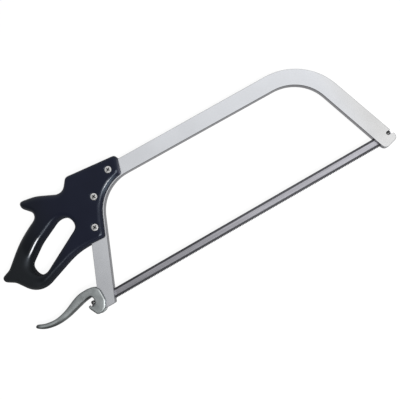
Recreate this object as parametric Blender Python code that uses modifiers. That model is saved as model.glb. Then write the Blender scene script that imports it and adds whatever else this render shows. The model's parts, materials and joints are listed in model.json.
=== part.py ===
"""Kitchen bow saw: a bent flat bar, a slotted moulded handle, a pinned blade and a cam lever.

The saw lies on its side. +X runs along the blade to its tip, +Y from the teeth to the back of the bow
and +Z through the handle's thickness. Shapes are drawn about the rear blade pin, on the saw's middle
plane, and hang on one empty that puts the origin on the handle's lower flank.
"""
import math

import bmesh
import bpy
from mathutils import Matrix, Vector
from mathutils.geometry import delaunay_2d_cdt, intersect_point_line

# Bow: one flat bar with two bends
PIN_SPAN = 0.5035
BAR_WIDTH = 0.0258
BAR_THICKNESS = 0.0095
BAR_EDGE = 0.0006
BEND_RADIUS = 0.0635
THROAT_DEPTH = 0.1473
TOP_SLOPE = math.radians(-1.42)
REAR_LEAN = math.radians(20.6)
FRONT_LEAN = math.radians(15.7)
REAR_LEG_DROP = 0.0162
FRONT_LEG_DROP = 0.0138
REAR_INNER_CORNER = 0.003
REAR_OUTER_CORNER = 0.0015
FRONT_INNER_CORNER = 0.007
FRONT_OUTER_CORNER = 0.007
FRONT_PIN_DEPTH = 0.0057

# Blade and its pins
BLADE_HEIGHT = 0.0148
BLADE_THICKNESS = 0.0006
BLADE_BACK = 0.0037
BLADE_END = 0.005
BLADE_CORNER = 0.0015
TOOTH_PITCH = 0.00254
TOOTH_DEPTH = 0.0015
TOOTH_RAKE = 0.35
TOOTH_SET = 0.0002
TOOTHLESS_END = 0.012
PIN_DIAMETER = 0.0056
PIN_CHAMFER = 0.0006

# Handle, cornered about the meeting point of the bar's outer edges at the rear bend
HANDLE_THICKNESS = 0.026
HANDLE_LIP = 0.0030
HANDLE_FRONT_REACH = 0.0550
HANDLE_END_DROP = 0.0998
HANDLE_END_SLOPE = math.radians(-4.0)
HANDLE_END_CORNER = 0.0045
GRIP_EDGE = 0.011
HORN_EDGE = 0.008
PLATE_EDGE = 0.0045
HOLE_EDGE = 0.006
RIM_HALF = 0.0015
EDGE_STEPS = 4
EDGE_BLEND = 4
OUTLINE_STEP = 0.008
POINT_SPACING = 0.0006
# each corner: x, y, fillet radius, edge rounding
HANDLE_BACK_CORNERS = (
    (0.0626, 0.0046, 0.0045, PLATE_EDGE),
    (-0.0251, 0.0150, 0.007, PLATE_EDGE),
    (-0.0413, -0.0054, 0.015, HORN_EDGE),
    (-0.0822, 0.0143, 0.060, HORN_EDGE),
    (-0.1102, 0.0193, 0.005, HORN_EDGE),
    (-0.1105, 0.0077, 0.006, HORN_EDGE),
    (-0.0911, -0.0142, 0.009, HORN_EDGE),
    (-0.1342, -0.0338, 0.150, GRIP_EDGE),
    (-0.1702, -0.0684, 0.008, HORN_EDGE),
    (-0.1852, -0.0739, 0.0045, HORN_EDGE),
    (-0.1850, -0.0819, 0.005, HORN_EDGE),
    (-0.1697, -0.0916, 0.010, HORN_EDGE),
    (-0.1436, -0.1261, 0.031, GRIP_EDGE),
    (-0.0631, -0.0959, 0.110, HOLE_EDGE),
)
HAND_HOLE_CORNERS = (
    (-0.0456, -0.0634, 0.010, HOLE_EDGE),
    (-0.0456, -0.0239, 0.020, HOLE_EDGE),
    (-0.1079, -0.0569, 0.120, GRIP_EDGE),
    (-0.1367, -0.0785, 0.012, GRIP_EDGE),
    (-0.1367, -0.1130, 0.016, HOLE_EDGE),
)
FLANK_MOUNT = (-0.024, -0.038)

# Handle fasteners: a screw in a barrel nut at each of three places along the bar
BOLT_TOP_ANGLE = math.radians(104.1)
BOLT_TOP_OFFSET = 0.006
BOLT_MIDDLE_ANGLE = math.radians(137.7)
BOLT_MIDDLE_OFFSET = 0.0038
BOLT_LOWER_DROP = 0.0176
BOLT_LOWER_OFFSET = 0.0022
HEAD_DIAMETER = 0.0112
HEAD_HEIGHT = 0.0022
HEAD_CHAMFER = 0.0005
HEAD_RECESS = 0.0004
SHANK_DIAMETER = 0.005
BARREL_DIAMETER = 0.0074
BARREL_GAP = 0.0015
DRIVER_LENGTH = 0.0056
DRIVER_WIDTH = 0.0014
DRIVER_DEPTH = 0.0012

# Tension lever, cornered about the rear pin
LEVER_SWING = math.radians(95.0)
CAM_RADIUS = 0.0076
CAM_FALL = 0.0028
CHEEK_THICKNESS = 0.0034
HEAD_EDGE = 0.0015
HEAD_EDGE_STEPS = 2
MOUTH_RADIUS = 0.0052
MOUTH_SEAT = math.radians(-32.0)
MOUTH_TOP = 0.0095
# each corner: x, y, fillet radius
LEVER_NOSE = (
    (-0.0046, -0.0043, 0.0012),
    (-0.0056, -0.0006, 0.0017),
    (-0.0093, -0.0017, 0.0017),
    (-0.0090, -0.0056, 0.0020),
    (-0.0014, -0.0198, 0.0060),
    (0.0122, -0.0188, 0.0120),
    (0.0190, -0.0050, 0.0120),
    (0.0181, 0.0146, 0.0110),
    (0.0086, 0.0221, 0.0110),
)
LEVER_NECK_BACK = -0.013
LEVER_NECK_TOP = 0.0206
LEVER_NECK_UNDER = 0.0100
LEVER_NECK_CORNER = 0.004
TAIL_SIDES = 20
TAIL_LENGTH_STEPS = 4
# each section: x, y, half width, how far its flanks stand in from the head's, edge rounding
LEVER_TAIL = (
    (0.003, 0.0162, 0.0066, 0.0001, 0.0028),
    (-0.0115, 0.0153, 0.0073, 0.0001, 0.0034),
    (-0.0232, 0.0124, 0.0075, 0.0003, 0.0055),
    (-0.0452, 0.0052, 0.0061, 0.0016, 0.0063),
    (-0.0652, 0.0024, 0.0049, 0.0030, 0.0055),
    (-0.0832, 0.0050, 0.0042, 0.0038, 0.0047),
    (-0.0957, 0.0108, 0.0031, 0.0050, 0.0035),
    (-0.0984, 0.0124, 0.0012, 0.0072, 0.0013),
)

CLEARANCE = 0.0003
CHEEK_CLEARANCE = 0.0004
BLADE_CLEARANCE = 0.0006
LEG_END_CLEARANCE = 0.0012
CHORD_ERROR = 0.00004
ROUND_SEGMENTS = 24
CUT_MARGIN = 0.02
SWEEP_REACH = 0.04
WELD = 0.000001

# Finishes: colour, roughness, metallic
FINISHES = {
    "satin_bar": ((0.60, 0.61, 0.63), 0.38, 1.0),
    "black_moulding": ((0.012, 0.013, 0.018), 0.22, 0.0),
    "blade_steel": ((0.36, 0.36, 0.37), 0.35, 1.0),
    "bright_steel": ((0.62, 0.62, 0.62), 0.25, 1.0),
    "cast_metal": ((0.42, 0.44, 0.43), 0.45, 1.0),
}

HALF_HANDLE = HANDLE_THICKNESS / 2
PIN_RADIUS = PIN_DIAMETER / 2
BLADE_SLIT = BLADE_THICKNESS + 2 * (TOOTH_SET + CLEARANCE)
LEVER_THICKNESS = BAR_THICKNESS + 2 * (CHEEK_CLEARANCE + CHEEK_THICKNESS)


def clear_scene():
    for item in list(bpy.data.objects):
        bpy.data.objects.remove(item, do_unlink=True)


def new_collection(name):
    group = bpy.data.collections.new(name)
    bpy.context.scene.collection.children.link(group)
    return group


def new_material(name):
    colour, roughness, metallic = FINISHES[name]
    material = bpy.data.materials.new(name)
    material.use_nodes = True
    shader = material.node_tree.nodes["Principled BSDF"]
    shader.inputs["Base Color"].default_value = (*colour, 1.0)
    shader.inputs["Roughness"].default_value = roughness
    shader.inputs["Metallic"].default_value = metallic
    return material


def heading(angle):
    return Vector((math.cos(angle), math.sin(angle)))


def crossing(normal_a, distance_a, normal_b, distance_b):
    """Meeting point of two lines, each given by its unit normal and its distance along it."""
    spread = normal_a.x * normal_b.y - normal_a.y * normal_b.x
    x = (distance_a * normal_b.y - distance_b * normal_a.y) / spread
    y = (normal_a.x * distance_b - normal_b.x * distance_a) / spread
    return Vector((x, y))


def arc_steps(radius, turn):
    """How many straight steps an arc needs to stay within the chord error."""
    widest = 2 * math.acos(max(0.0, 1 - CHORD_ERROR / radius))
    return max(2, math.ceil(turn / widest))


def rounded(corners):
    """Close an outline through its corners, each (x, y, fillet radius, extra values to carry)."""
    points = []
    count = len(corners)
    for index, (x, y, radius, *extra) in enumerate(corners):
        corner = Vector((x, y))
        before = (Vector(corners[index - 1][:2]) - corner).normalized()
        after = (Vector(corners[(index + 1) % count][:2]) - corner).normalized()
        half = math.acos(max(-1.0, min(1.0, before.dot(after)))) / 2
        turn = math.pi - 2 * half
        if radius == 0:
            points.append((corner, *extra))
            continue
        inward = (before + after).normalized()
        centre = corner + inward * (radius / math.sin(half))
        start = corner + before * (radius / math.tan(half)) - centre
        side = 1 if before.cross(after) < 0 else -1
        steps = arc_steps(radius, turn)
        for step in range(steps + 1):
            points.append((centre + swung(start, side * turn * step / steps), *extra))
    return points


def spaced(points, step):
    """The same closed outline with points added along its long straight stretches."""
    row = []
    for (first, edge_a), (second, edge_b) in zip(points, points[1:] + points[:1]):
        pieces = max(1, round((second - first).length / step))
        for piece in range(pieces):
            share = piece / pieces
            row.append((first.lerp(second, share), edge_a + (edge_b - edge_a) * share))
    return row


def softened(points):
    """The same closed outline with its edge rounding eased from one stretch to the next."""
    for _ in range(EDGE_BLEND):
        edges = [edge for _, edge in points]
        following = edges[1:] + edges[:1]
        points = [(place, (edges[index - 1] + edges[index] + following[index]) / 3)
                  for index, (place, _) in enumerate(points)]
    return points


def swung(spoke, angle):
    return Matrix.Rotation(angle, 2) @ spoke


def bare(points):
    return [point[0] for point in points]


class Bow:
    """The bent bar's lines, from which everything that touches it takes its place."""

    def __init__(self):
        self.rear_in = heading(-REAR_LEAN)
        self.front_out = heading(FRONT_LEAN)
        self.top_out = heading(math.pi / 2 + TOP_SLOPE)
        middle = Vector((PIN_SPAN / 2, THROAT_DEPTH))
        self.rear = CAM_RADIUS + BAR_WIDTH / 2
        self.front = PIN_SPAN * self.front_out.x + FRONT_PIN_DEPTH - BAR_WIDTH / 2
        self.top = middle.dot(self.top_out) + BAR_WIDTH / 2
        self.bend = BEND_RADIUS + BAR_WIDTH / 2

    def rear_corner(self, offset):
        return crossing(self.rear_in, self.rear - offset, self.top_out, self.top + offset)

    def front_corner(self, offset):
        return crossing(self.front_out, self.front + offset, self.top_out, self.top + offset)

    def rear_bend_centre(self):
        return self.rear_corner(-self.bend)

    def rear_point(self, offset, height):
        """The point of the rear leg's line at a height above the pins."""
        return crossing(self.rear_in, self.rear - offset, Vector((0, 1)), height)

    def front_end(self, offset):
        along = Vector((-self.front_out.y, self.front_out.x))
        pin = Vector((PIN_SPAN, 0))
        return crossing(self.front_out, self.front + offset, along, pin.dot(along) - FRONT_LEG_DROP)


BOW = Bow()


def tree_object(name, mesh, group, origin):
    item = bpy.data.objects.new(name, mesh)
    group.objects.link(item)
    item.parent = origin
    return item


def welded(item, name, group, origin):
    """Replace a curve object by its welded mesh."""
    bpy.context.view_layer.update()
    graph = bpy.context.evaluated_depsgraph_get()
    mesh = bpy.data.meshes.new_from_object(item.evaluated_get(graph))
    curve = item.data
    bpy.data.objects.remove(item)
    bpy.data.curves.remove(curve)
    mesh.name = name
    form = bmesh.new()
    form.from_mesh(mesh)
    bmesh.ops.remove_doubles(form, verts=form.verts, dist=WELD)
    bmesh.ops.recalc_face_normals(form, faces=form.faces)
    form.to_mesh(mesh)
    form.free()
    return tree_object(name, mesh, group, origin)


def plate(name, outlines, thickness, group, origin, edge=0.0, edge_steps=0):
    """A flat solid on the middle plane, with its edges eased by a small bevel."""
    curve = bpy.data.curves.new(name, "CURVE")
    curve.dimensions = "2D"
    curve.fill_mode = "BOTH"
    curve.extrude = thickness / 2 - edge
    curve.bevel_depth = edge
    curve.bevel_resolution = edge_steps
    curve.offset = -edge
    for outline in outlines:
        spline = curve.splines.new("POLY")
        spline.points.add(len(outline) - 1)
        for point, place in zip(spline.points, outline):
            point.co = (place.x, place.y, 0, 1)
        spline.use_cyclic_u = True
    item = bpy.data.objects.new(name, curve)
    bpy.context.scene.collection.objects.link(item)
    return welded(item, name, group, origin)


def circle(centre, radius):
    turn = 2 * math.pi / ROUND_SEGMENTS
    return [centre + heading(turn * index) * radius for index in range(ROUND_SEGMENTS)]


def turned(name, profile, centre, group, origin):
    """A turned solid about a line along Z; its profile runs down the outer side, (radius, height)."""
    mesh = bpy.data.meshes.new(name)
    form = bmesh.new()
    points = [form.verts.new((radius, 0, height)) for radius, height in profile]
    for first, second in zip(points, points[1:]):
        form.edges.new((first, second))
    form.to_mesh(mesh)
    form.free()
    item = tree_object(name, mesh, group, origin)
    item.location = (centre.x, centre.y, 0)
    screw = item.modifiers.new("Turn", "SCREW")
    screw.steps = ROUND_SEGMENTS
    screw.render_steps = ROUND_SEGMENTS
    screw.use_merge_vertices = True
    screw.merge_threshold = WELD
    screw.use_smooth_shade = False
    return item


def hide_cutter(item):
    item.hide_render = True
    item.display_type = "WIRE"
    return item


def combine(item, other, operation):
    modifier = item.modifiers.new(other.name, "BOOLEAN")
    modifier.operation = operation
    modifier.solver = "EXACT"
    modifier.object = other


def bolt_places():
    centre = BOW.rear_bend_centre()
    top = centre + heading(BOLT_TOP_ANGLE) * (BOW.bend + BOLT_TOP_OFFSET)
    middle = centre + heading(BOLT_MIDDLE_ANGLE) * (BOW.bend + BOLT_MIDDLE_OFFSET)
    bend_end = centre - BOW.rear_in * (BOW.bend + BOLT_LOWER_OFFSET)
    lower = bend_end - Vector((-BOW.rear_in.y, BOW.rear_in.x)) * BOLT_LOWER_DROP
    return {"top": top, "middle": middle, "lower": lower}


def bow_outline():
    half = BAR_WIDTH / 2
    outer_bend = BEND_RADIUS + BAR_WIDTH
    return bare(rounded([
        (*BOW.rear_point(half, -REAR_LEG_DROP), REAR_OUTER_CORNER),
        (*BOW.rear_point(-half, -REAR_LEG_DROP), REAR_INNER_CORNER),
        (*BOW.rear_corner(-half), BEND_RADIUS),
        (*BOW.front_corner(-half), BEND_RADIUS),
        (*BOW.front_end(-half), FRONT_INNER_CORNER),
        (*BOW.front_end(half), FRONT_OUTER_CORNER),
        (*BOW.front_corner(half), outer_bend),
        (*BOW.rear_corner(half), outer_bend),
    ]))


def slit_outline(left, right):
    """The blade's slit through a leg, open at the leg's end."""
    top = BLADE_BACK + BLADE_CLEARANCE
    bottom = -(REAR_LEG_DROP + FRONT_LEG_DROP)
    return [Vector((left, bottom)), Vector((right, bottom)), Vector((right, top)), Vector((left, top))]


def notch_outline():
    """The front pin's seat: a round-bottomed notch open to the front."""
    radius = PIN_RADIUS + CLEARANCE
    pin = Vector((PIN_SPAN, 0))
    reach = Vector((CUT_MARGIN, 0))
    steps = ROUND_SEGMENTS // 2
    arc = [pin + heading(math.pi / 2 + math.pi * step / steps) * radius for step in range(steps + 1)]
    return [arc[0] + reach, *arc, arc[-1] + reach]


def make_bow_frame(parts, cutters, origin, material):
    frame = plate("bow_frame", [bow_outline()], BAR_THICKNESS, parts, origin, BAR_EDGE)
    rear_middle = BOW.rear_point(0, 0).x
    slits = {
        "rear_slit_cutter": (rear_middle - BAR_WIDTH, rear_middle + BAR_WIDTH),
        "front_slit_cutter": (PIN_SPAN - BAR_WIDTH, PIN_SPAN + BAR_WIDTH),
    }
    for name, (left, right) in slits.items():
        combine(frame, hide_cutter(plate(name, [slit_outline(left, right)], BLADE_SLIT, cutters, origin)),
                "DIFFERENCE")
    tall = BAR_THICKNESS + CUT_MARGIN
    notch = plate("pin_notch_cutter", [notch_outline()], tall, cutters, origin)
    combine(frame, hide_cutter(notch), "DIFFERENCE")
    for place, centre in bolt_places().items():
        hole = circle(centre, BARREL_DIAMETER / 2 + CLEARANCE)
        cutter = plate("bar_hole_cutter_" + place, [hole], tall, cutters, origin)
        combine(frame, hide_cutter(cutter), "DIFFERENCE")
    frame.data.materials.append(material)


def lip_points(front):
    """The handle's edge along the bar, from the leg's end of the bend to the handle's front end."""
    centre = BOW.rear_bend_centre()
    radius = BEND_RADIUS + HANDLE_LIP
    leg_angle = math.pi - REAR_LEAN
    top_angle = math.pi / 2 + TOP_SLOPE
    front_angle = max(top_angle, math.acos(max(-1.0, min(1.0, (front - centre.x) / radius))))
    steps = arc_steps(radius, leg_angle - front_angle)
    turn = (front_angle - leg_angle) / steps
    points = [centre + heading(leg_angle + turn * step) * radius for step in range(steps + 1)]
    if front_angle == top_angle:
        points.append(crossing(Vector((1, 0)), front, BOW.top_out, BOW.top + HANDLE_LIP - BAR_WIDTH / 2))
    return points


def handle_outlines():
    """The handle's outer outline and hand hole: points with the edge rounding at each."""
    anchor = BOW.rear_corner(BAR_WIDTH / 2)
    end_line = heading(math.pi / 2 + HANDLE_END_SLOPE)
    end_level = end_line.dot(anchor) - HANDLE_END_DROP
    lower = crossing(BOW.rear_in, BOW.rear + BAR_WIDTH / 2 - HANDLE_LIP, end_line, end_level)
    *lip, upper = lip_points(anchor.x + HANDLE_FRONT_REACH)
    corners = [(*lower, HANDLE_END_CORNER, PLATE_EDGE)]
    corners += [(*point, 0, PLATE_EDGE) for point in lip]
    corners.append((*upper, HANDLE_END_CORNER, PLATE_EDGE))
    corners += [(anchor.x + x, anchor.y + y, *rest) for x, y, *rest in HANDLE_BACK_CORNERS]
    hole = [(anchor.x + x, anchor.y + y, *rest) for x, y, *rest in HAND_HOLE_CORNERS]
    return [softened(spaced(rounded(outline), OUTLINE_STEP)) for outline in (corners, hole)]


def nearest_edge(place, loops):
    """Distance from a point to the nearest outline, and the edge rounding there."""
    best = (math.inf, PLATE_EDGE)
    for loop in loops:
        for (first, edge_a), (second, edge_b) in zip(loop, loop[1:] + loop[:1]):
            _, share = intersect_point_line(place, first, second)
            share = max(0.0, min(1.0, share))
            gap = (place - first.lerp(second, share)).length
            if gap < best[0]:
                best = (gap, edge_a + (edge_b - edge_a) * share)
    return best


def inside(place, loop):
    crossings = 0
    for (first, _), (second, _) in zip(loop, loop[1:] + loop[:1]):
        if (first.y > place.y) != (second.y > place.y):
            reach = (place.y - first.y) / (second.y - first.y)
            crossings += place.x < first.x + (second.x - first.x) * reach
    return crossings % 2 == 1


def flank_height(gap, edge):
    """Half thickness of the moulding at a distance from its outline."""
    radius = min(edge, HALF_HANDLE - RIM_HALF)
    short = max(0.0, radius - gap)
    return HALF_HANDLE - radius + math.sqrt(radius * radius - short * short)


def inset_points(loop, loops, outward):
    """Rows of points that follow an outline inward, spaced for the edge rounding."""
    points = []
    count = len(loop)
    for step in range(1, EDGE_STEPS + 1):
        angle = math.pi / 2 * step / EDGE_STEPS
        for index, (place, edge) in enumerate(loop):
            along = loop[(index + 1) % count][0] - loop[index - 1][0]
            inward = Vector((-along.y, along.x)).normalized() * outward
            inset = edge * (1 - math.cos(angle))
            candidate = place + inward * inset
            gap, _ = nearest_edge(candidate, loops)
            if gap > inset - POINT_SPACING / 2:
                points.append(candidate)
    return points


def thin_out(points, spacing):
    kept = []
    for point in points:
        if all((point - other).length > spacing for other in kept):
            kept.append(point)
    return kept


def handle_mesh():
    outer, hole = handle_outlines()
    loops = [outer, hole]
    border = bare(outer) + bare(hole)
    count = len(outer)
    edges = [(index, (index + 1) % count) for index in range(count)]
    edges += [(count + index, count + (index + 1) % len(hole)) for index in range(len(hole))]
    inner = thin_out(inset_points(outer, loops, 1) + inset_points(hole, loops, -1), POINT_SPACING)
    places, _, faces, _, _, _ = delaunay_2d_cdt(border + inner, edges, [], 1, WELD)
    form = bmesh.new()
    upper = []
    lower = []
    for index, place in enumerate(places):
        gap, edge = nearest_edge(place, loops)
        height = flank_height(0 if index < len(border) else gap, edge)
        upper.append(form.verts.new((place.x, place.y, height)))
        lower.append(form.verts.new((place.x, place.y, -height)))
    for face in faces:
        middle = sum((places[index] for index in face), Vector((0, 0))) / len(face)
        if inside(middle, hole):
            continue
        form.faces.new([upper[index] for index in face])
        form.faces.new([lower[index] for index in reversed(face)])
    for first, second in edges:
        form.faces.new((lower[first], lower[second], upper[second], upper[first]))
    bmesh.ops.recalc_face_normals(form, faces=form.faces)
    mesh = bpy.data.meshes.new("handle")
    form.to_mesh(mesh)
    form.free()
    return mesh


def bar_slot_outline():
    """The slot that slips over the bar: closed along its outer edge, open at the front and both ends."""
    outer = BAR_WIDTH / 2 + CLEARANCE
    inner = -BAR_WIDTH / 2 - CUT_MARGIN
    front = BOW.rear_corner(0).x + HANDLE_FRONT_REACH + BAR_WIDTH + CUT_MARGIN
    end = {offset: crossing(Vector((1, 0)), front, BOW.top_out, BOW.top + offset)
           for offset in (outer, inner)}
    return bare(rounded([
        (*BOW.rear_point(outer, 0), 0),
        (*BOW.rear_point(inner, 0), 0),
        (*BOW.rear_corner(inner), BOW.bend + inner),
        (*end[inner], 0),
        (*end[outer], 0),
        (*BOW.rear_corner(outer), BOW.bend + outer),
    ]))


def fastener_levels():
    """Heights on the upper side: head top, head underside, counterbore floor."""
    top = HALF_HANDLE - HEAD_RECESS
    under = top - HEAD_HEIGHT
    return top, under, under - CLEARANCE


def make_handle(parts, cutters, origin, material):
    handle = tree_object("handle", handle_mesh(), parts, origin)
    slot = plate("bar_slot_cutter", [bar_slot_outline()], BAR_THICKNESS + 2 * CLEARANCE, cutters, origin)
    combine(handle, hide_cutter(slot), "DIFFERENCE")
    _, _, floor = fastener_levels()
    head = HEAD_DIAMETER / 2 + CLEARANCE
    bore = BARREL_DIAMETER / 2 + CLEARANCE
    out = HALF_HANDLE + CUT_MARGIN
    profile = [(0, out), (head, out), (head, floor), (bore, floor), (bore, -floor), (head, -floor),
               (head, -out), (0, -out)]
    for place, centre in bolt_places().items():
        cutter = turned("bolt_cutter_" + place, profile, centre, cutters, origin)
        combine(handle, hide_cutter(cutter), "DIFFERENCE")
    handle.data.materials.append(material)


def driver_slot(name, centre, angle, height, cutters, origin):
    """A bar across a fastener's head, which cuts a driver's slot."""
    arm = DRIVER_LENGTH / 2
    half = DRIVER_WIDTH / 2
    corners = [Vector((arm, -half)), Vector((arm, half)), Vector((-arm, half)), Vector((-arm, -half))]
    outline = [centre + swung(corner, angle) for corner in corners]
    slot = plate(name, [outline], 2 * DRIVER_DEPTH, cutters, origin)
    slot.location.z = height
    return hide_cutter(slot)


def make_fasteners(parts, cutters, origin, material):
    top, under, _ = fastener_levels()
    head = HEAD_DIAMETER / 2
    shank = SHANK_DIAMETER / 2
    barrel = BARREL_DIAMETER / 2
    barrel_top = under - BARREL_GAP
    bore = shank + CLEARANCE
    screw_profile = [(0, top), (head - HEAD_CHAMFER, top), (head, top - HEAD_CHAMFER), (head, under),
                     (shank, under), (shank, -under + CLEARANCE), (0, -under + CLEARANCE)]
    nut_profile = [(0, -under), (bore, -under), (bore, barrel_top), (barrel, barrel_top),
                   (barrel, -under), (head, -under), (head, -top + HEAD_CHAMFER),
                   (head - HEAD_CHAMFER, -top), (0, -top)]
    for place, centre in bolt_places().items():
        screw = turned("handle_screw_" + place, screw_profile, centre, parts, origin)
        for name, angle in (("cross_cutter_", 0), ("bar_cutter_", math.pi / 2)):
            slot = driver_slot(name + place, centre, angle, top, cutters, origin)
            combine(screw, slot, "DIFFERENCE")
        nut = turned("handle_nut_" + place, nut_profile, centre, parts, origin)
        slot = driver_slot("slot_cutter_" + place, centre, 0, -top, cutters, origin)
        combine(nut, slot, "DIFFERENCE")
        screw.data.materials.append(material)
        nut.data.materials.append(material)


def blade_outline():
    """The blade's outline, with its teeth between two plain ends."""
    rear = -BLADE_END
    front = PIN_SPAN + BLADE_END
    tip = BLADE_BACK - BLADE_HEIGHT
    gullet = tip + TOOTH_DEPTH
    first = TOOTHLESS_END
    teeth = math.floor((PIN_SPAN - 2 * TOOTHLESS_END) / TOOTH_PITCH)
    row = []
    for tooth in range(teeth):
        row.append((first + tooth * TOOTH_PITCH, gullet, 0))
        row.append((first + (tooth + TOOTH_RAKE) * TOOTH_PITCH, tip, 0))
    row.append((first + teeth * TOOTH_PITCH, gullet, 0))
    corners = [(rear, BLADE_BACK, BLADE_CORNER), (rear, gullet, BLADE_CORNER), *row,
               (front, gullet, BLADE_CORNER), (front, BLADE_BACK, BLADE_CORNER)]
    return bare(rounded(corners)), tip


def make_blade(parts, origin, material):
    outline, tip = blade_outline()
    bore = PIN_RADIUS + CLEARANCE
    holes = [circle(Vector((0, 0)), bore), circle(Vector((PIN_SPAN, 0)), bore)]
    blade = plate("saw_blade", [outline, *holes], BLADE_THICKNESS, parts, origin)
    for vertex in blade.data.vertices:
        if vertex.co.y < tip + TOOTH_DEPTH / 2:
            tooth = math.floor((vertex.co.x - TOOTHLESS_END) / TOOTH_PITCH)
            vertex.co.z += TOOTH_SET if tooth % 2 else -TOOTH_SET
    blade.data.materials.append(material)


def make_pins(parts, origin, material):
    lengths = {
        "blade_pin_front": (Vector((PIN_SPAN, 0)), BAR_THICKNESS - 2 * CLEARANCE),
        "blade_pin_rear": (Vector((0, 0)), LEVER_THICKNESS - 2 * CLEARANCE),
    }
    for name, (centre, length) in lengths.items():
        end = length / 2
        profile = [(0, end), (PIN_RADIUS - PIN_CHAMFER, end), (PIN_RADIUS, end - PIN_CHAMFER),
                   (PIN_RADIUS, PIN_CHAMFER - end), (PIN_RADIUS - PIN_CHAMFER, -end), (0, -end)]
        turned(name, profile, centre, parts, origin).data.materials.append(material)


def lever_head_outline():
    """The hook: mouth, nose, heel and cheeks, closed across the neck."""
    seat = heading(MOUTH_SEAT)
    centre = -seat * (MOUTH_RADIUS - PIN_RADIUS - CLEARANCE)
    front = centre.x + MOUTH_RADIUS
    return bare(rounded([
        (LEVER_NECK_BACK, LEVER_NECK_TOP, LEVER_NECK_CORNER),
        (LEVER_NECK_BACK, LEVER_NECK_UNDER, LEVER_NECK_CORNER),
        (front, MOUTH_TOP, MOUTH_RADIUS),
        (front, centre.y - MOUTH_RADIUS, MOUTH_RADIUS),
        *LEVER_NOSE,
    ]))


def cam_outline():
    """The space that the leg sweeps between the cheeks: its border on the web is an involute cam."""
    rate = CAM_FALL / LEVER_SWING
    steps = arc_steps(CAM_RADIUS, LEVER_SWING)
    points = []
    for step in range(steps + 1):
        swing = LEVER_SWING * step / steps
        out = heading(-REAR_LEAN - swing)
        along = Vector((-out.y, out.x))
        reach = CAM_RADIUS - CLEARANCE - rate * swing
        points.append((out * reach + along * rate, out, along))
    first, first_out, first_along = points[0]
    last, last_out, last_along = points[-1]
    leg_end = REAR_LEG_DROP / math.cos(REAR_LEAN) + LEG_END_CLEARANCE
    return [
        last - last_along * leg_end,
        last - last_along * leg_end + last_out * SWEEP_REACH,
        first + first_out * SWEEP_REACH - first_along * SWEEP_REACH,
        first + first_out * SWEEP_REACH + first_along * SWEEP_REACH,
        first + first_along * SWEEP_REACH,
        *[point for point, _, _ in points],
    ]


def tail_sections():
    """Sections along the tail, on a smooth curve through the listed ones."""
    listed = [Vector(section) for section in LEVER_TAIL]
    path = [2 * listed[0] - listed[1], *listed, 2 * listed[-1] - listed[-2]]
    sections = []
    for before, first, second, after in zip(path, path[1:], path[2:], path[3:]):
        for step in range(TAIL_LENGTH_STEPS):
            share = step / TAIL_LENGTH_STEPS
            slope = (second - before) * share / 2
            sway = (before - 2.5 * first + 2 * second - after / 2) * share ** 2
            bend = (after - before + 3 * (first - second)) * share ** 3 / 2
            sections.append(first + slope + sway + bend)
    return [*sections, listed[-1]]


def section_ring(form, section, along):
    """One section of the tail: an oval that is squarer where its edge rounding is small."""
    x, y, half_width, inset, rounding = section
    half_depth = LEVER_THICKNESS / 2 - inset
    across = Vector((-along.y, along.x)).normalized()
    ring = []
    for side in range(TAIL_SIDES):
        spoke = heading(2 * math.pi * side / TAIL_SIDES)
        out, up = (math.copysign(abs(part) ** (rounding / half_depth), part) for part in spoke)
        place = Vector((x, y)) + across * (half_width * out)
        ring.append(form.verts.new((place.x, place.y, half_depth * up)))
    return ring


def make_tail(origin, group):
    sections = tail_sections()
    form = bmesh.new()
    rings = []
    for index, section in enumerate(sections):
        before = sections[max(index - 1, 0)]
        after = sections[min(index + 1, len(sections) - 1)]
        rings.append(section_ring(form, section, (after - before).to_2d()))
    for ring, following in zip(rings, rings[1:]):
        for side in range(TAIL_SIDES):
            form.faces.new((ring[side - 1], ring[side], following[side], following[side - 1]))
    form.faces.new(rings[0])
    form.faces.new(rings[-1])
    bmesh.ops.recalc_face_normals(form, faces=form.faces)
    mesh = bpy.data.meshes.new("lever_tail")
    form.to_mesh(mesh)
    form.free()
    return tree_object("lever_tail", mesh, group, origin)


def make_lever(parts, cutters, origin, material):
    head_outline = lever_head_outline()
    lever = plate("tension_lever", [head_outline], LEVER_THICKNESS, parts, origin, HEAD_EDGE,
                  HEAD_EDGE_STEPS)
    combine(lever, hide_cutter(make_tail(origin, cutters)), "UNION")
    gap = plate("leg_gap_cutter", [cam_outline()], BAR_THICKNESS + 2 * CHEEK_CLEARANCE, cutters, origin)
    combine(lever, hide_cutter(gap), "DIFFERENCE")
    sweep = math.hypot(BLADE_END, BLADE_HEIGHT - BLADE_BACK) + BLADE_CLEARANCE
    slot = plate("blade_slot_cutter", [circle(Vector((0, 0)), sweep)], BLADE_SLIT, cutters, origin)
    combine(lever, hide_cutter(slot), "DIFFERENCE")
    lever.data.materials.append(material)


def main():
    clear_scene()
    parts = new_collection("kitchen_bow_saw")
    cutters = new_collection("cutters")
    origin = bpy.data.objects.new("saw_origin", None)
    parts.objects.link(origin)
    flank = BOW.rear_corner(BAR_WIDTH / 2) + Vector(FLANK_MOUNT)
    origin.location = (-flank.x, -flank.y, HALF_HANDLE)
    make_bow_frame(parts, cutters, origin, new_material("satin_bar"))
    make_handle(parts, cutters, origin, new_material("black_moulding"))
    bright_steel = new_material("bright_steel")
    make_fasteners(parts, cutters, origin, bright_steel)
    make_blade(parts, origin, new_material("blade_steel"))
    make_pins(parts, origin, bright_steel)
    make_lever(parts, cutters, origin, new_material("cast_metal"))


main()
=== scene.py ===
"""Looks of the kitchen bow saw: eased mouldings, turned fasteners, finishes, stage and camera.

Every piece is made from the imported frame, in metres, and rides on the body of the node that it
stands for.
"""
import json
import math

import bmesh
import bpy
import numpy
from mathutils import Euler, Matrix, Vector
from mathutils.bvhtree import BVHTree

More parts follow.
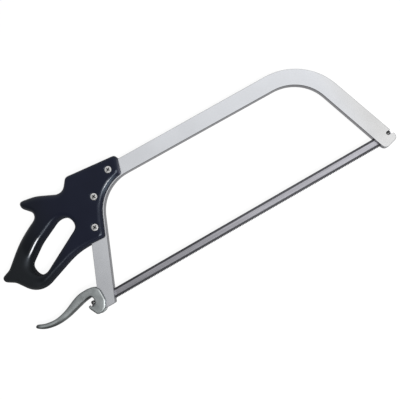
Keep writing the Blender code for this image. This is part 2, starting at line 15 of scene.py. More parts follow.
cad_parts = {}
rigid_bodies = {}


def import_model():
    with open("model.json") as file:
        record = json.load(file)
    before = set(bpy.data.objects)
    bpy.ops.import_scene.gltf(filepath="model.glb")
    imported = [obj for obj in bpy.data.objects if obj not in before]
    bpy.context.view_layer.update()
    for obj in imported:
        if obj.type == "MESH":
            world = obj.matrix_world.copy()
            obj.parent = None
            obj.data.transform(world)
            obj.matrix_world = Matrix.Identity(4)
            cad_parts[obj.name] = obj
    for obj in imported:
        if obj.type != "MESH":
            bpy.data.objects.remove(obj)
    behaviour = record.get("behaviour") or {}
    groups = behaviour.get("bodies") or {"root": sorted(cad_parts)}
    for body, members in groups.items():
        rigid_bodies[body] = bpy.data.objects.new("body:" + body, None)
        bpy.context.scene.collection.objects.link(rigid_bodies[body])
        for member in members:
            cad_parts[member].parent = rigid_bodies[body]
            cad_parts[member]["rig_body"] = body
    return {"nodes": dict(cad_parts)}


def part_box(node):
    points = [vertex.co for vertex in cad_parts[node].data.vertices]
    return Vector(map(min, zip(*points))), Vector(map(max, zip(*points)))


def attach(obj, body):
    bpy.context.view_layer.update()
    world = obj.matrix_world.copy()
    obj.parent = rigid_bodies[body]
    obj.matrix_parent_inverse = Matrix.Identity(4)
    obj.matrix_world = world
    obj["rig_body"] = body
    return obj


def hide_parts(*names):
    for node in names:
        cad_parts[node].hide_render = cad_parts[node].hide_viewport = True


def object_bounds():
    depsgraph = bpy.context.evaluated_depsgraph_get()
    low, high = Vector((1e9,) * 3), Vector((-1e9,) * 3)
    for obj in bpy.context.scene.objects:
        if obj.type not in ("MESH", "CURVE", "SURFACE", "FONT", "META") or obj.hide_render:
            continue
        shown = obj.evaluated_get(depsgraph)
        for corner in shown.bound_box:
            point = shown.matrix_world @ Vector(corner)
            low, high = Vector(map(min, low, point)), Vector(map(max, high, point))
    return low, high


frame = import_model()
cad_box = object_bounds()

# Skins of the moulded handle and the cast lever: grid, smoothing passes and what stays crisp
HANDLE_GRID = 0.0008
HANDLE_PASSES = 80
LEVER_GRID = 0.00045
LEVER_PASSES = 90
CRISP_PASSES = 3
CRISP_MARGIN = 0.003
LIP_PASSES = 60
LIP_REACH = 0.0118
INWARD = 0.01
SMOOTH_SHARE = 0.5
WELD = 0.000001
FLAT_ANGLE = math.radians(0.5)
SMOOTH_ANGLE = math.radians(20)
AXES = 3

# Turned fasteners: heads, shanks as shares of the head, driver recesses and pins
TURN_STEPS = 48
DOME_STEPS = 6
DOME_RISE = 0.0005
HEAD_BEVEL = 0.0003
HEAD_HEIGHT = 0.0022
SHANK_SHARE = 0.45
BARREL_SHARE = 0.66
BORE_SHARE = 0.5
RECESS_REACH = 0.0036
RECESS_WIDTH = 0.0019
RECESS_DEPTH = 0.0016
RECESS_TAPER = 0.7
RECESS_TURNS = (math.radians(30), math.radians(120))
SLOT_REACH_SHARE = 1.2
SLOT_WIDTH = 0.0014
SLOT_DEPTH = 0.0010
SLOT_TAPER = 1.0
SLOT_TURN = math.radians(30)
PIN_BEVEL = 0.0003
PIN_RISE = 0.0009

# Finishes: noise, and the sockets of a node that mixes colours
METAL = 1.0
NOISE_RANGE = (0.3, 0.7)
PLAIN_DETAIL = 1.0
USUAL_DETAIL = 2.0
RICH_DETAIL = 3.0
MIX_FIRST = 6
MIX_SECOND = 7
MIX_RESULT = 2

# Satin bar: reaches are from its front end
BAR_PALE = (0.645, 0.66, 0.69)
BAR_GREY = (0.605, 0.605, 0.605)
# painted shade: the colour of the bar's side faces, darker than its flats
BAR_SIDE_SHADE = (0.125, 0.125, 0.135)
BAR_GREY_REACH = (-0.06, -0.012)
BAR_FLAT_LEVEL = (0.75, 0.95)
BAR_CLOUDS = 0.05
BAR_CLOUD_TONE = (0.95, 1.0)
BAR_CLOUD_ROUGHNESS = (0.19, 0.22)
BAR_GRAIN = 0.0006
BAR_GRAIN_TONE = (0.0, 0.05)
BAR_GRAIN_ROUGHNESS = (0.0, 0.03)
BAR_GRAIN_DEPTH = 0.000006

# Black moulding: colours, and reaches from the low corner of the handle's box
HANDLE_SPECULAR = 0.2
HANDLE_TINT = (0.78, 0.88, 1.0, 1.0)
HANDLE_NAVY = ((0.0022, 0.0026, 0.0078), (0.0030, 0.0037, 0.0102))
GRIP_BLACK = (0.0014, 0.0016, 0.0018)
GRIP_REACH = (0.14, 0.04)
HANDLE_PATCHES = 0.03
HANDLE_ROUGHNESS = (0.19, 0.24)
HANDLE_RIPPLE = 0.004
HANDLE_RIPPLE_DEPTH = 0.000005
HANDLE_PEEL = 0.0009
HANDLE_PEEL_ROUGHNESS = (0.0, 0.02)
HANDLE_PEEL_DEPTH = 0.0000015
HANDLE_SIDE_LEVEL = (0.62, 0.25)
HANDLE_SIDE_ROUGHNESS = (0.0, 0.78)
HEEL_REACH = (0.058, 0.046)
HEEL_ROUGHNESS = (0.0, 0.25)

# Black moulding: a painted sheen on the lip about its crest, and a lighter grey front end ahead of
# the top screw
LIP_CREST = Vector((0.0255, 0.0095, 0.010))
LIP_SHEEN = (0.030, 0.038, 0.050)
LIP_SHEEN_REACH = (0.024, 0.006)
LIP_LEVEL = (0.99, 0.85)
FRONT_WAY = Vector((0.948, -0.318, 0.0))
FRONT_GREY = (0.070, 0.072, 0.090)
FRONT_REACH = (0.0140, 0.0185)

# Black moulding: the edges that use has polished, near the palm and on the lip's crest
PALM = (0.070, 0.0605)
PALM_GLOSS = (0.008, 0.028)
PALM_ROUGHNESS = (-0.06, 0.10)
PALM_POLISH = (0.021, 0.007)
LIP_POLISH = (0.014, 0.004)
LIP_POLISH_SHARE = (0.0, 0.6)
POLISH_ROUGHNESS = 0.07
POLISH_FACING = (-0.10, -0.22)
POLISH_LEVEL = (0.70, 0.82)

# Blade steel: reaches are from the back edge, the tooth edge and the rear end
BLADE_GROUND = (0.244, 0.242, 0.262)
BLADE_DARK = (0.050, 0.050, 0.055)
BLADE_BACK_REACH = (-0.0037, -0.0029)
BLADE_TOOTH_REACH = (0.0050, 0.0040)
# painted light: the ground steel grows lighter from here to the front end
BLADE_BRIGHT_START = 0.35
BLADE_FRONT_LIGHT = (1.0, 1.3)
BLADE_LINES = 0.0004
BLADE_LINE_STRETCH = (200, 1, 1)
BLADE_LINE_TONE = (-0.05, 0.05)
BLADE_LINE_DEPTH = 0.000003
BLADE_ROUGHNESS = (0.30, 0.42)
BLADE_STAIN = 0.02
BLADE_STAIN_STRETCH = (3, 1, 1)
BLADE_STAIN_TONE = (0.9, 1.0)

# Cast metal: painted shade on the sides, underside, tip and pin pocket, and a painted rim highlight;
# reaches are from the tip of the lever's tail, and from the rear blade pin
CAST_SIDE_SHADE = (0.12, 0.128, 0.128)
CAST_FLAT = (0.24, 0.257, 0.259)
# painted highlight: the colour of the rounded rim that faces forward
CAST_RIM_HIGHLIGHT = (0.32, 0.335, 0.335)
CAST_FLAT_LEVEL = (0.7, 1.0)
UNDER_FACING = (0.0, -0.3)
UNDER_REACH = (0.030, 0.055)
# painted shade under the tail, at its tip and in the pocket by the rear pin
UNDER_SHADE = (0.85, 0.25)
TIP_REACH = (0.012, 0.003)
TIP_SHADE = (0.0, 0.95)
TAIL_LIFT_REACH = (0.045, 0.065)
TAIL_LIFT_TONE = (1.2, 0.9)
POCKET_REACH = (0.019, 0.013)
POCKET_SHADE = (0.0, 0.75)
POCKET_FACING = (0.1, -0.3)
RIM_FORWARD = (0.25, 0.5)
RIM_LEVEL = (0.55, 0.75)
CAST_PATCHES = 0.012
CAST_PATCH_TONE = (0.9, 1.0)
CAST_ROUGHNESS = (0.46, 0.56)
CAST_SKIN = 0.0012
CAST_SKIN_TONE = (-0.04, 0.06)
CAST_SKIN_DEPTH = 0.00003
CAST_PITS = 0.0004
CAST_PIT_DEPTH = 0.00001

# Bright steel: reaches are from the flat of the handle's flank
PLATE_GREYS = ((0.46, 0.46, 0.46), (0.56, 0.56, 0.56))
# painted shade: the colour of the recesses, below the flank of the handle
RECESS_SHADE = (0.03, 0.03, 0.03)
RECESS_SHADE_REACH = (-0.0014, -0.0011)
PLATE_MARKS = 0.0008
PLATE_MARK_DEPTH = 0.000008
PLATE_ROUGHNESS = (0.28, 0.4)

# Dark steel
PIN_GREYS = ((0.04, 0.04, 0.04), (0.08, 0.08, 0.08))
PIN_RUBS = 0.002
PIN_RUB_RANGE = (0.35, 0.75)
PIN_RUB_DEPTH = 0.00001
PIN_ROUGHNESS = (0.32, 0.45)

# Floor, world and lamps
FLOOR_SIZE = 30.0
FLOOR_COLOUR = (0.95, 0.95, 0.95, 1.0)
FLOOR_GLOW = 0.92
WORLD_FILL = 0.4
WORLD_SHOWN = 1.0
CEILING = 0.70
CEILING_SLOPE = (0.65, 0.89, 0.0)
CEILING_RANGE = (0.5, 1.2)
HORIZON_WHITE = 1.0
HORIZON_HEIGHTS = (0.2, 0.4)
KEY_LAMP = {"direction": (0.14, -0.48, 0.866), "distance": 1.6, "size": (1.0, 0.6), "power": 38}
SIDE_LAMP = {"direction": (0.565, -0.424, 0.707), "distance": 1.6, "size": (0.5, 0.5), "power": 8}

# Camera: place about the rear blade pin, turn and lens
CAMERA_OFFSET = Vector((0.2451, -0.0628, 0.6722))
CAMERA_TURN = [math.radians(angle) for angle in (7.407, 7.066, -29.453)]
CAMERA_LENS = 40.5
SENSOR_WIDTH = 36.0
CLIP_START = 0.01


def body_of(node):
    return frame["nodes"][node]["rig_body"]


def middle_of(node):
    low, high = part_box(node)
    return (low + high) / 2


def width_of(node):
    low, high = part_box(node)
    return high.x - low.x


def shifted(start, reaches):
    """The places at some reaches from a start."""
    return [start + reach for reach in reaches]


def new_piece(name, mesh, finish, node):
    """Put a finished mesh in the scene in place of the node that it stands for."""
    piece = bpy.data.objects.new(name, mesh)
    bpy.context.scene.collection.objects.link(piece)
    mesh.materials.clear()
    mesh.materials.append(finish)
    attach(piece, body_of(node))
    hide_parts(node)


def welded(node):
    """A node's solid with its corners joined and its flat faces whole."""
    form = bmesh.new()
    form.from_mesh(frame["nodes"][node].data)
    bmesh.ops.remove_doubles(form, verts=form.verts, dist=WELD)
    bmesh.ops.dissolve_limit(form, angle_limit=FLAT_ANGLE, verts=form.verts, edges=form.edges)
    mesh = bpy.data.meshes.new(node + "_form")
    form.to_mesh(mesh)
    form.free()
    return mesh


def modified(mesh, kind, **settings):
    """The mesh after a modifier. The mesh that it starts from is removed."""
    item = bpy.data.objects.new("working", mesh)
    bpy.context.scene.collection.objects.link(item)
    modifier = item.modifiers.new(kind, kind)
    for setting, value in settings.items():
        setattr(modifier, setting, value)
    bpy.context.view_layer.update()
    graph = bpy.context.evaluated_depsgraph_get()
    result = bpy.data.meshes.new_from_object(item.evaluated_get(graph))
    bpy.data.objects.remove(item)
    bpy.data.meshes.remove(mesh)
    return result


def shaded(mesh):
    """The mesh, smooth but for its sharp edges."""
    mesh.shade_smooth()
    mesh.set_sharp_from_angle(angle=SMOOTH_ANGLE)
    return mesh


def smoothed(places, edges, share, passes):
    """Points drawn towards the middle of their neighbours, each by its share, a number of times."""
    one, other = edges.T
    total = len(places)
    count = numpy.bincount(edges.ravel(), minlength=total)[:, None]
    for _ in range(passes):
        sums = [numpy.bincount(one, line[other], total) + numpy.bincount(other, line[one], total)
                for line in places.T]
        places = places + share * (numpy.stack(sums, axis=1) / count - places)
    return places


def eased(node, grid, passes, crisp, broad):
    """A finer skin of a node's solid, eased as a mould or a cast leaves it, least where it is crisp.

    Smoothing draws a skin in, so what it takes away is smoothed as well and given back. Only a broad
    edge is left drawn in. Its attribute is 1 on the broad edge and 0 elsewhere, a mask for painted
    sheen.
    """
    mesh = modified(welded(node), "REMESH", mode="VOXEL", voxel_size=grid)
    places = numpy.empty((len(mesh.vertices), AXES), numpy.float32)
    mesh.vertices.foreach_get("co", places.ravel())
    edges = numpy.empty((len(mesh.edges), 2), numpy.int32)
    mesh.edges.foreach_get("vertices", edges.ravel())
    places = smoothed(places, edges, SMOOTH_SHARE, CRISP_PASSES)
    points = [Vector(place) for place in places]
    soft = SMOOTH_SHARE * numpy.array([[not crisp(point)] for point in points])
    wide = soft * numpy.array([[broad(point)] for point in points])
    drawn_in = smoothed(places, edges, soft, passes)
    whole = drawn_in + smoothed(places - drawn_in, edges, soft, passes)
    whole = numpy.clip(whole, *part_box(node))
    mesh.vertices.foreach_set("co", smoothed(whole, edges, wide, LIP_PASSES).ravel())
    broad_edge = smoothed(wide / SMOOTH_SHARE, edges, SMOOTH_SHARE, CRISP_PASSES)
    mesh.attributes.new("broad_edge", "FLOAT", "POINT").data.foreach_set("value", broad_edge.ravel())
    mesh.shade_smooth()
    mesh.update()
    return mesh


def nowhere(place):
    """A test for a skin with no such place."""
    return False


def skin_of(node, inward=False):
    """A node's faces, or those that look to its middle, to measure how far a point lies from them."""
    mesh = frame["nodes"][node].data
    middle = middle_of(node)
    faces = [face for face in mesh.polygons
             if not inward or face.normal.xy.dot(middle.xy - face.center.xy) > INWARD]
    return BVHTree.FromPolygons([vertex.co for vertex in mesh.vertices],
                                [face.vertices for face in faces])


class Finish:
    """A node material: a Principled shader with short calls for the nodes that feed it."""

    def __init__(self, name, **values):
        self.material = bpy.data.materials.new(name)
        self.material.use_nodes = True
        self.tree = self.material.node_tree
        self.shader = self.tree.nodes["Principled BSDF"]
        for socket, value in values.items():
            self.shader.inputs[socket.replace("_", " ")].default_value = value
        source = self.add("ShaderNodeTexCoord")
        self.place = source.outputs["Object"]
        axes = self.add("ShaderNodeSeparateXYZ", {"Vector": self.place})
        self.x, self.y, self.z = axes.outputs
        tilt = self.add("ShaderNodeSeparateXYZ", {"Vector": source.outputs["Normal"]})
        self.level = self.math("ABSOLUTE", tilt.outputs["Z"])
        self.forward = tilt.outputs["X"]
        self.facing = tilt.outputs["Y"]

    def add(self, kind, inputs=None, **settings):
        node = self.tree.nodes.new(kind)
        for setting, value in settings.items():
            setattr(node, setting, value)
        for socket, value in (inputs or {}).items():
            self.feed(node.inputs[socket], value)
        return node

    def feed(self, socket, value):
        if isinstance(value, bpy.types.NodeSocket):
            self.tree.links.new(value, socket)
        else:
            socket.default_value = value

    def math(self, operation, first, second=0.0):
        node = self.add("ShaderNodeMath", {0: first, 1: second}, operation=operation)
        return node.outputs[0]

    def distance(self, point):
        """How far a place on the surface is from a point."""
        node = self.add("ShaderNodeVectorMath", {0: self.place, 1: point}, operation="DISTANCE")
        return node.outputs["Value"]

    def along(self, way):
        """How far a place on the surface is along a way."""
        node = self.add("ShaderNodeVectorMath", {0: self.place, 1: way}, operation="DOT_PRODUCT")
        return node.outputs["Value"]

    def noise(self, size, detail=USUAL_DETAIL, stretch=(1, 1, 1)):
        """Noise with features of about a size in metres, longer along an axis that is stretched."""
        scale = [1 / (size * length) for length in stretch]
        place = self.add("ShaderNodeVectorMath", {0: self.place, 1: scale}, operation="MULTIPLY")
        node = self.add("ShaderNodeTexNoise",
                        {"Vector": place.outputs[0], "Scale": 1.0, "Detail": detail})
        return node.outputs["Fac"]

    def between(self, value, start, end, low=0.0, high=1.0):
        """A smooth step: low where the value is at start, high where it is at end."""
        node = self.add("ShaderNodeMapRange", {"Value": value, "From Min": start, "From Max": end,
                                               "To Min": low, "To Max": high},
                        interpolation_type="SMOOTHSTEP")
        return node.outputs["Result"]

    def spread(self, noise, low=0.0, high=1.0):
        """The middle of a noise's range, spread from low to high."""
        return self.between(noise, *NOISE_RANGE, low, high)

    def mix(self, share, first, second):
        """The first colour where the share is 0, the second where it is 1."""
        node = self.add("ShaderNodeMix", data_type="RGBA")
        self.feed(node.inputs["Factor"], share)
        for number, value in ((MIX_FIRST, first), (MIX_SECOND, second)):
            colour = value if isinstance(value, bpy.types.NodeSocket) else (*value, 1.0)
            self.feed(node.inputs[number], colour)
        return node.outputs[MIX_RESULT]

    def shade(self, colour, value):
        """A colour made lighter or darker by a value about 1."""
        node = self.add("ShaderNodeVectorMath", operation="SCALE")
        self.feed(node.inputs[0], colour)
        self.feed(node.inputs["Scale"], value)
        return node.outputs[0]

    def bump(self, *layers):
        """Bumps laid over each other, each a height socket and its depth in metres."""
        normal = None
        for height, depth in layers:
            node = self.add("ShaderNodeBump",
                            {"Height": height, "Distance": depth, "Strength": 1.0})
            if normal:
                self.feed(node.inputs["Normal"], normal)
            normal = node.outputs[0]
        self.feed(self.shader.inputs["Normal"], normal)

    def set(self, **sockets):
        for socket, value in sockets.items():
            self.feed(self.shader.inputs[socket.replace("_", " ")], value)
        return self.material


def satin_bar():
    """Tumbled satin bar: pale flats, greyer at the front end, painted shade on the sides, clouds and
    a fine grain.
    """
    finish = Finish("satin_bar", Metallic=METAL)
    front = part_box("bow_frame")[1].x
    grain = finish.noise(BAR_GRAIN)
    clouds = finish.noise(BAR_CLOUDS, RICH_DETAIL)
    # painted shade: faces that tilt away from upright take the darker side colour
    flat = finish.between(finish.level, *BAR_FLAT_LEVEL)
    greyed = finish.between(finish.x, *shifted(front, BAR_GREY_REACH))
    colour = finish.mix(flat, BAR_SIDE_SHADE, finish.mix(greyed, BAR_PALE, BAR_GREY))
    tone = finish.math("ADD", finish.spread(clouds, *BAR_CLOUD_TONE),
                       finish.spread(grain, *BAR_GRAIN_TONE))
    rough = finish.math("ADD", finish.spread(clouds, *BAR_CLOUD_ROUGHNESS),
                        finish.spread(grain, *BAR_GRAIN_ROUGHNESS))
    finish.bump((grain, BAR_GRAIN_DEPTH))
    return finish.set(Base_Color=finish.shade(colour, tone), Roughness=rough)


def black_moulding():
    """Glossy black moulding: a navy cast, a slight ripple, dull sides, a painted sheen along the lip,
    a lighter grey front end, and edges polished by use.
    """
    finish = Finish("black_moulding", Specular_IOR_Level=HANDLE_SPECULAR, Specular_Tint=HANDLE_TINT,
                    Coat_Roughness=POLISH_ROUGHNESS)
    low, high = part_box("handle")
    patches = finish.noise(HANDLE_PATCHES, RICH_DETAIL)
    ripple = finish.noise(HANDLE_RIPPLE, PLAIN_DETAIL)
    peel = finish.noise(HANDLE_PEEL, PLAIN_DETAIL)
    from_crest = finish.distance(middle_of("handle_screw_middle") + LIP_CREST)
    from_palm = finish.distance(Vector((low.x + PALM[0], low.y + PALM[1], high.z)))

    navy = finish.mix(patches, *HANDLE_NAVY)
    grip = finish.between(finish.x, *shifted(low.x, GRIP_REACH))
    black = finish.mix(grip, navy, GRIP_BLACK)
    lip = finish.add("ShaderNodeAttribute", attribute_name="broad_edge").outputs["Fac"]
    # painted sheen: a lighter grey on the lip's rounded edge about its crest, where a lamp's
    # reflection falls
    rounded = finish.math("MULTIPLY", lip, finish.between(finish.level, *LIP_LEVEL))
    lip_sheen = finish.math("MULTIPLY", finish.between(from_crest, *LIP_SHEEN_REACH), rounded)
    # lighter grey towards the front end, ahead of the top screw
    front = middle_of("handle_screw_top").dot(FRONT_WAY)
    toward_front = finish.between(finish.along(FRONT_WAY), *shifted(front, FRONT_REACH))
    colour = finish.mix(toward_front, finish.mix(lip_sheen, black, LIP_SHEEN), FRONT_GREY)

    gloss = finish.math("ADD", finish.spread(patches, *HANDLE_ROUGHNESS),
                        finish.spread(peel, *HANDLE_PEEL_ROUGHNESS))
    unpolished = finish.between(from_palm, *PALM_GLOSS, *PALM_ROUGHNESS)
    side = finish.between(finish.level, *HANDLE_SIDE_LEVEL, *HANDLE_SIDE_ROUGHNESS)
    heel = finish.between(finish.x, *shifted(low.x, HEEL_REACH), *HEEL_ROUGHNESS)
    dull = finish.math("MAXIMUM", side, heel)
    rough = finish.math("ADD", finish.math("ADD", gloss, unpolished), dull)

    spots = finish.math("MAXIMUM", finish.between(from_palm, *PALM_POLISH),
                        finish.between(from_crest, *LIP_POLISH, *LIP_POLISH_SHARE))
    edges = finish.math("MULTIPLY", finish.between(finish.facing, *POLISH_FACING),
                        finish.between(finish.level, *POLISH_LEVEL))
    polish = finish.math("MULTIPLY", spots, edges)
    finish.bump((ripple, HANDLE_RIPPLE_DEPTH), (peel, HANDLE_PEEL_DEPTH))
    return finish.set(Base_Color=colour, Roughness=rough, Coat_Weight=polish)


def blade_steel():
    """Ground strip steel: lengthwise grind lines, dark teeth and back, and painted light that
    brightens it to the front.
    """
    finish = Finish("blade_steel", Metallic=METAL)
    low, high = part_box("saw_blade")
    lines = finish.noise(BLADE_LINES, USUAL_DETAIL, BLADE_LINE_STRETCH)
    stain = finish.noise(BLADE_STAIN, RICH_DETAIL, BLADE_STAIN_STRETCH)
    back = finish.between(finish.y, *shifted(high.y, BLADE_BACK_REACH))
    teeth = finish.between(finish.y, *shifted(low.y, BLADE_TOOTH_REACH))
    # painted light: lighter towards the front end
    bright = finish.between(finish.x, low.x + BLADE_BRIGHT_START, high.x, *BLADE_FRONT_LIGHT)
    ground = finish.shade(BLADE_GROUND, bright)
    colour = finish.mix(finish.math("MAXIMUM", back, teeth), ground, BLADE_DARK)
    tone = finish.math("ADD", finish.spread(stain, *BLADE_STAIN_TONE),
                       finish.spread(lines, *BLADE_LINE_TONE))
    finish.bump((lines, BLADE_LINE_DEPTH))
    return finish.set(Base_Color=finish.shade(colour, tone),
                      Roughness=finish.spread(lines, *BLADE_ROUGHNESS))


def cast_metal():
    """Tumbled casting: grey with a green cast and pitted skin, painted shade on the sides, underside,
    tip and pin pocket, a painted rim highlight, and lighter along the tail than at the head.
    """
    finish = Finish("cast_metal", Metallic=METAL)
    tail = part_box("tension_lever")[0].x
    skin = finish.noise(CAST_SKIN, RICH_DETAIL)
    pits = finish.noise(CAST_PITS, USUAL_DETAIL)
    patches = finish.noise(CAST_PATCHES, RICH_DETAIL)
    # painted shade: faces that tilt away from upright take the darker side colour
    flat = finish.between(finish.level, *CAST_FLAT_LEVEL)
    side_shaded = finish.mix(flat, CAST_SIDE_SHADE, CAST_FLAT)

    # painted shade: darker under the tail, at the tail's tip and in the pocket by the rear pin
    under = finish.math("MULTIPLY", finish.between(finish.facing, *UNDER_FACING),
                        finish.between(finish.x, *shifted(tail, UNDER_REACH), *UNDER_SHADE))
    tip = finish.between(finish.x, *shifted(tail, TIP_REACH), *TIP_SHADE)
    from_pin = finish.distance(middle_of("blade_pin_rear"))
    pocket = finish.math("MULTIPLY", finish.between(from_pin, *POCKET_REACH, *POCKET_SHADE),
                         finish.between(finish.facing, *POCKET_FACING))
    painted_shade = finish.math("MAXIMUM", finish.math("MAXIMUM", under, pocket), tip)
    # lighter along the tail, darker towards the head
    tail_lift = finish.between(finish.x, *shifted(tail, TAIL_LIFT_REACH), *TAIL_LIFT_TONE)
    shaded_tone = finish.shade(side_shaded, finish.math("SUBTRACT", tail_lift, painted_shade))

    # painted highlight on the rounded rim that faces forward
    rim = finish.math("MULTIPLY", finish.between(finish.forward, *RIM_FORWARD),
                      finish.between(finish.level, *RIM_LEVEL))
    colour = finish.mix(rim, shaded_tone, CAST_RIM_HIGHLIGHT)
    tone = finish.math("ADD", finish.spread(patches, *CAST_PATCH_TONE),
                       finish.spread(skin, *CAST_SKIN_TONE))
    finish.bump((skin, CAST_SKIN_DEPTH), (pits, CAST_PIT_DEPTH))
    return finish.set(Base_Color=finish.shade(colour, tone),
                      Roughness=finish.spread(patches, *CAST_ROUGHNESS))


def bright_steel():
    """Plated fasteners: bright, with faint marks of handling and painted shade in their recesses."""
    finish = Finish("bright_steel", Metallic=METAL)
    low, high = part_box("handle")
    marks = finish.noise(PLATE_MARKS, RICH_DETAIL)
    plate = finish.mix(finish.spread(marks), *PLATE_GREYS)
    # painted shade: darker deeper than the top of the heads
    out = finish.math("ABSOLUTE", finish.math("SUBTRACT", finish.z, (low.z + high.z) / 2))
    flank = (high.z - low.z) / 2
    colour = finish.mix(finish.between(out, *shifted(flank, RECESS_SHADE_REACH)), RECESS_SHADE, plate)
    finish.bump((marks, PLATE_MARK_DEPTH))
    return finish.set(Base_Color=colour, Roughness=finish.spread(marks, *PLATE_ROUGHNESS))


def dark_steel():
    """Dark pins, rubs leave them a little brighter in places."""
    finish = Finish("dark_steel", Metallic=METAL)
    rubs = finish.noise(PIN_RUBS, RICH_DETAIL)
    colour = finish.mix(finish.between(rubs, *PIN_RUB_RANGE), *PIN_GREYS)
    finish.bump((rubs, PIN_RUB_DEPTH))
    return finish.set(Base_Color=colour, Roughness=finish.spread(rubs, *PIN_ROUGHNESS))


def turned(name, profile, centre):
    """A turned solid about an upright line, from a profile of radius and height down its side."""
    form = bmesh.new()
    points = [form.verts.new((centre.x + radius, centre.y, height)) for radius, height in profile]
    edges = [form.edges.new(pair) for pair in zip(points, points[1:])]
    bmesh.ops.spin(form, geom=points + edges, cent=(centre.x, centre.y, 0), axis=(0, 0, 1),
                   angle=2 * math.pi, steps=TURN_STEPS, use_merge=True)
    bmesh.ops.remove_doubles(form, verts=form.verts, dist=WELD)
    bmesh.ops.recalc_face_normals(form, faces=form.faces)
    mesh = bpy.data.meshes.new(name)
    form.to_mesh(mesh)
    form.free()
    return mesh


def arm(form, centre, top, reach, width, depth, taper, turn):
    """One arm of a driver recess: a block across the head that narrows as it goes down."""
    points = []
    for height, share in ((top, 1.0), (top - depth, taper)):
        for x, y in ((1, 1), (1, -1), (-1, -1), (-1, 1)):
            corner = Vector((x * reach * share, y * width / 2 * share, 0))
            corner.rotate(Euler((0, 0, turn)))
            points.append(form.verts.new((centre.x + corner.x, centre.y + corner.y, height)))
    bmesh.ops.convex_hull(form, input=points)


def cut(mesh, arms):
    """A turned fastener with a driver recess cut in its head."""
    form = bmesh.new()
    for values in arms:
        arm(form, *values)
    bmesh.ops.recalc_face_normals(form, faces=form.faces)
    cutter_mesh = bpy.data.meshes.new("recess")
    form.to_mesh(cutter_mesh)
    form.free()
    cutter = bpy.data.objects.new("recess", cutter_mesh)
    bpy.context.scene.collection.objects.link(cutter)
    result = modified(mesh, "BOOLEAN", object=cutter, operation="DIFFERENCE", use_self=True)
    bpy.data.objects.remove(cutter)
    bpy.data.meshes.remove(cutter_mesh)
    return shaded(result)


def dome(radius, top, rise):
    """The crown of a head, from its middle out to the start of its rim."""
    ball = (radius * radius + rise * rise) / (2 * rise)
    edge = math.asin(radius / ball)
    angles = [edge * step / DOME_STEPS for step in range(DOME_STEPS + 1)]
    return [(ball * math.sin(angle), top - ball + ball * math.cos(angle)) for angle in angles]


def make_screw(place, finish):
    """A screw with a crowned head and a cross recess."""
    node = "handle_screw_" + place
    low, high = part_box(node)
    centre = middle_of(node)
    head = (high.x - low.x) / 2
    shank = head * SHANK_SHARE
    under = high.z - HEAD_HEIGHT
    crown = dome(head - HEAD_BEVEL, high.z, DOME_RISE)
    rim = crown[-1][1] - HEAD_BEVEL
    profile = [*crown, (head, rim), (head, under), (shank, under), (shank, low.z), (0, low.z)]
    arms = [(centre, high.z + WELD, RECESS_REACH, RECESS_WIDTH, RECESS_DEPTH, RECESS_TAPER, turn)
            for turn in RECESS_TURNS]
    mesh = cut(turned(node + "_form", profile, centre), arms)
    new_piece("screw_" + place, mesh, finish, node)


def make_nut(place, finish):
    """A barrel nut with a crowned head and a straight slot, its head down."""
    node = "handle_nut_" + place
    low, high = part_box(node)
    centre = middle_of(node)
    head = (high.x - low.x) / 2
    barrel = head * BARREL_SHARE
    bore = head * BORE_SHARE
    upper = low.z + HEAD_HEIGHT
    crown = [(radius, 2 * low.z - height)
             for radius, height in dome(head - HEAD_BEVEL, low.z, DOME_RISE)]
    rim = crown[-1][1] + HEAD_BEVEL
    profile = [(0, upper), (bore, upper), (bore, high.z), (barrel, high.z), (barrel, upper),
               (head, upper), (head, rim), *reversed(crown)]
    slot = (centre, low.z - WELD, head * SLOT_REACH_SHARE, SLOT_WIDTH, -SLOT_DEPTH, SLOT_TAPER,
            SLOT_TURN)
    mesh = cut(turned(node + "_form", profile, centre), [slot])
    new_piece("nut_" + place, mesh, finish, node)


def make_pin(place, finish):
    """A cross pin with crowned ends."""
    node = "blade_pin_" + place
    low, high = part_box(node)
    radius = width_of(node) / 2
    crown = dome(radius - PIN_BEVEL, high.z, PIN_RISE)
    upper = [*crown, (radius, crown[-1][1] - PIN_BEVEL)]
    lower = [(reach, low.z + high.z - height) for reach, height in reversed(upper)]
    mesh = shaded(turned(node + "_form", upper + lower, middle_of(node)))
    new_piece("pin_" + place, mesh, finish, node)


def make_handle(finish):
    """The moulding: crisp at the bar and the bolts, drawn in along the lip, eased elsewhere."""
    bar = skin_of("bow_frame")
    throat = skin_of("bow_frame", inward=True)
    rims = [(middle_of(node), width_of(node) / 2 + CRISP_MARGIN / 2)
            for node in ("handle_screw_top", "handle_screw_middle", "handle_screw_lower")]

    def beside_bar_or_bolt(place):
        """Whether a point is on the rim of the bar's slot or of a fastener's counterbore."""
        if bar.find_nearest(place, CRISP_MARGIN)[0] is not None:
            return True
        return any((place.xy - centre.xy).length < reach for centre, reach in rims)

    def on_lip(place):
        """Whether a point is on the broad edge beside the throat of the bow."""
        return throat.find_nearest(place, LIP_REACH)[0] is not None

    mesh = eased("handle", HANDLE_GRID, HANDLE_PASSES, beside_bar_or_bolt, on_lip)
    new_piece("handle_moulding", mesh, finish, "handle")


def make_saw():
    make_handle(black_moulding())
    new_piece("bow_bar", shaded(welded("bow_frame")), satin_bar(), "bow_frame")
    new_piece("blade_strip", shaded(welded("saw_blade")), blade_steel(), "saw_blade")
    lever = eased("tension_lever", LEVER_GRID, LEVER_PASSES, nowhere, nowhere)
    new_piece("lever_casting", lever, cast_metal(), "tension_lever")
    plated = bright_steel()
    for place in ("top", "middle", "lower"):
        make_screw(place, plated)
        make_nut(place, plated)
    dark_pin_steel = dark_steel()
    for place in ("front", "rear"):
        make_pin(place, dark_pin_steel)


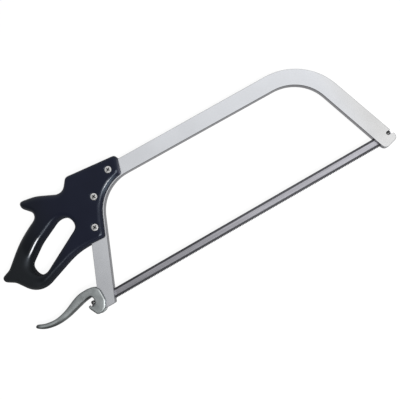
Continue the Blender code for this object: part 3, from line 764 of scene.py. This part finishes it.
def shown_share(tree, plain, shown):
    """A value that is plain for light that falls on things, and shown where the surface is seen."""
    path = tree.nodes.new("ShaderNodeLightPath")
    total = path.outputs["Is Camera Ray"]
    for name in ("Is Glossy Ray", "Is Transmission Ray"):
        both = tree.nodes.new("ShaderNodeMath")
        both.operation = "MAXIMUM"
        tree.links.new(total, both.inputs[0])
        tree.links.new(path.outputs[name], both.inputs[1])
        total = both.outputs[0]
    share = tree.nodes.new("ShaderNodeMapRange")
    share.inputs["To Min"].default_value = plain
    share.inputs["To Max"].default_value = shown
    tree.links.new(total, share.inputs["Value"])
    return share.outputs["Result"]


def make_floor():
    """A pale floor that reads as white and keeps a faint shadow."""
    form = bmesh.new()
    bmesh.ops.create_grid(form, x_segments=1, y_segments=1, size=FLOOR_SIZE / 2)
    mesh = bpy.data.meshes.new("floor")
    form.to_mesh(mesh)
    form.free()
    floor = bpy.data.objects.new("floor", mesh)
    bpy.context.scene.collection.objects.link(floor)
    material = bpy.data.materials.new("floor")
    material.use_nodes = True
    tree = material.node_tree
    tree.nodes.clear()
    matt = tree.nodes.new("ShaderNodeBsdfDiffuse")
    matt.inputs["Color"].default_value = FLOOR_COLOUR
    glow = tree.nodes.new("ShaderNodeEmission")
    both = tree.nodes.new("ShaderNodeMixShader")
    out = tree.nodes.new("ShaderNodeOutputMaterial")
    tree.links.new(shown_share(tree, 0.0, FLOOR_GLOW), both.inputs["Fac"])
    tree.links.new(matt.outputs[0], both.inputs[1])
    tree.links.new(glow.outputs[0], both.inputs[2])
    tree.links.new(both.outputs[0], out.inputs["Surface"])
    mesh.materials.append(material)


def make_world():
    """White round the horizon, with a ceiling that grows lighter towards the saw's tip and back."""
    world = bpy.data.worlds.new("studio")
    bpy.context.scene.world = world
    world.use_nodes = True
    tree = world.node_tree
    way = tree.nodes.new("ShaderNodeTexCoord").outputs["Generated"]
    axes = tree.nodes.new("ShaderNodeSeparateXYZ")
    tree.links.new(way, axes.inputs[0])
    slope = tree.nodes.new("ShaderNodeVectorMath")
    slope.operation = "DOT_PRODUCT"
    slope.inputs[1].default_value = CEILING_SLOPE
    tree.links.new(way, slope.inputs[0])
    darkest, lightest = CEILING_RANGE
    ceiling = tree.nodes.new("ShaderNodeMapRange")
    ceiling.inputs["From Min"].default_value = darkest - CEILING
    ceiling.inputs["From Max"].default_value = lightest - CEILING
    ceiling.inputs["To Min"].default_value = darkest
    ceiling.inputs["To Max"].default_value = lightest
    tree.links.new(slope.outputs["Value"], ceiling.inputs["Value"])
    height = tree.nodes.new("ShaderNodeMapRange")
    height.interpolation_type = "SMOOTHSTEP"
    height.inputs["From Min"].default_value = HORIZON_HEIGHTS[0]
    height.inputs["From Max"].default_value = HORIZON_HEIGHTS[1]
    height.inputs["To Min"].default_value = HORIZON_WHITE
    tree.links.new(axes.outputs["Z"], height.inputs["Value"])
    tree.links.new(ceiling.outputs["Result"], height.inputs["To Max"])
    back = tree.nodes["Background"]
    tree.links.new(height.outputs["Result"], back.inputs["Color"])
    tree.links.new(shown_share(tree, WORLD_FILL, WORLD_SHOWN), back.inputs["Strength"])


def make_lamp(name, aim, direction, distance, size, power):
    """A soft oblong lamp that looks at a point from a direction."""
    light = bpy.data.lights.new(name, "AREA")
    light.shape = "RECTANGLE"
    light.size, light.size_y = size
    light.energy = power
    lamp = bpy.data.objects.new(name, light)
    way = Vector(direction).normalized()
    lamp.location = aim + way * distance
    lamp.rotation_euler = way.to_track_quat("Z", "Y").to_euler()
    bpy.context.scene.collection.objects.link(lamp)


def make_studio():
    make_floor()
    make_world()
    low, high = cad_box
    aim = (low + high) / 2
    make_lamp("key", aim, **KEY_LAMP)
    make_lamp("side", aim, **SIDE_LAMP)


def make_camera():
    """The photograph's camera."""
    camera = bpy.data.cameras.new("camera")
    camera.lens = CAMERA_LENS
    camera.sensor_width = SENSOR_WIDTH
    camera.clip_start = CLIP_START
    item = bpy.data.objects.new("camera", camera)
    item.location = middle_of("blade_pin_rear") + CAMERA_OFFSET
    item.rotation_euler = CAMERA_TURN
    bpy.context.scene.collection.objects.link(item)
    bpy.context.scene.camera = item


make_saw()
make_studio()
make_camera()
bpy.context.scene.view_settings.view_transform = "Standard"
